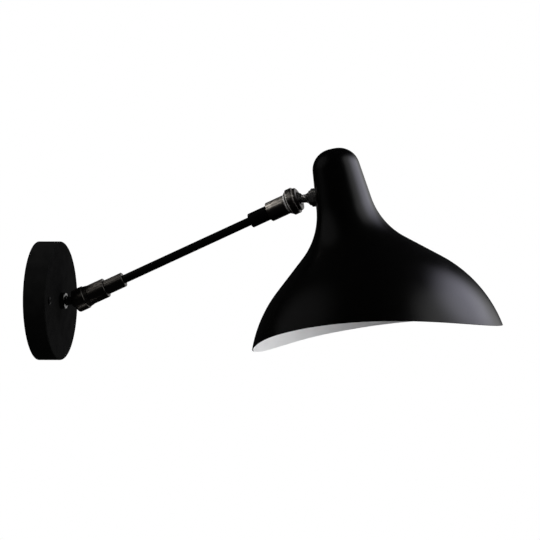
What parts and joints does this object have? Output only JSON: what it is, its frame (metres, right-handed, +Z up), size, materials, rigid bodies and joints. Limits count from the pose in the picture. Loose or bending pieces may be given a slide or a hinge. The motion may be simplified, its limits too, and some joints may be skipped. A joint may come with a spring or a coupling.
{
  "type": "swing arm wall lamp",
  "caption": "Wall lamp with a bell-shaped spun shade on a straight tube arm, a ball joint at each end of the arm and a round wall canopy.",
  "frame": {"origin": "middle of the wall plane, at the centre of the canopy's open back", "axes": "+X out of the wall, +Z up, Y level along the wall"},
  "size_m": [0.4812, 0.2436, 0.2146],
  "materials": {
    "canopy_black": "matt black powder coat",
    "arm_black": "semi-gloss black on turned brass and steel",
    "stud_black": "polished black nickel on turned steel",
    "shade_black": "satin black paint outside, white paint inside",
    "screw_black": "black zinc",
    "zinc": "bright zinc",
    "spring_steel": "oiled spring steel",
    "acetal": "black acetal",
    "brass": "turned, uncoated",
    "terminal_white": "moulded polyamide",
    "holder_black": "moulded phenolic",
    "bulb_metal": "rolled thin sheet",
    "bulb_glass": "opal glass"
  },
  "bodies": {
    "wall_base": {"canopy": "canopy_black", "wall_bracket": "zinc", "canopy_screws": "screw_black", "earth_screw": "brass", "terminal_block": "terminal_white", "terminal_clamps": "brass", "terminal_screws": "zinc", "terminal_fixing_screw": "zinc", "wall_ball_stud": "stud_black", "wall_stud_washer": "zinc", "wall_stud_nut": "zinc"},
    "wall_liner": {"wall_ball_liner": "acetal"},
    "wall_cup": {"wall_pressure_cup": "brass"},
    "arm": {"wall_disc_spring": "spring_steel", "wall_socket_barrel": "arm_black", "wall_sleeve": "arm_black", "wall_socket_cap": "arm_black", "arm_tube": "arm_black", "shade_sleeve": "arm_black", "shade_socket_barrel": "arm_black", "shade_disc_spring": "spring_steel", "shade_socket_cap": "arm_black", "shade_lock_ring": "arm_black", "shade_lock_washer": "arm_black"},
    "shade_cup": {"shade_pressure_cup": "brass"},
    "shade_liner": {"shade_ball_liner": "acetal"},
    "shade_head": {"shade_ball_stud": "stud_black", "shade": "shade_black", "shade_saddle_washer": "stud_black", "shade_inner_washer": "zinc", "lampholder_strap": "zinc", "shade_stud_washer": "zinc", "shade_stud_nut": "zinc", "lampholder_nipple": "zinc", "lampholder_nut": "zinc", "lampholder_cap": "holder_black", "lampholder_body": "holder_black", "lampholder_shell": "brass", "lampholder_contact": "brass", "bulb_cap": "bulb_metal", "bulb_glass": "bulb_glass"}
  },
  "joints": [
    {"name": "arm_lift", "type": "hinge", "parent": "wall_base", "child": "wall_liner", "pos_m": [0.0403, 0, 0], "axis": [0, 1, 0], "range_deg": [-4, 52]},
    {"name": "arm_swing", "type": "hinge", "parent": "wall_liner", "child": "wall_cup", "pos_m": [0.0403, 0, 0], "axis": [-0.4067, 0, 0.9135], "range_deg": [-26, 26]},
    {"name": "arm_twist", "type": "hinge", "parent": "wall_cup", "child": "arm", "pos_m": [0.0403, 0, 0], "axis": [0.9135, 0, 0.4067], "range_deg": [-60, 60]},
    {"name": "shade_twist", "type": "hinge", "parent": "arm", "child": "shade_cup", "pos_m": [0.27051, 0, 0.1025], "axis": [0.9135, 0, 0.4067], "range_deg": [-60, 60]},
    {"name": "shade_pan", "type": "hinge", "parent": "shade_cup", "child": "shade_liner", "pos_m": [0.27051, 0, 0.1025], "axis": [-0.4067, 0, 0.9135], "range_deg": [-26, 26]},
    {"name": "shade_tilt", "type": "hinge", "parent": "shade_liner", "child": "shade_head", "pos_m": [0.27051, 0, 0.1025], "axis": [0, 1, 0], "range_deg": [-45.5, 9]}
  ]
}
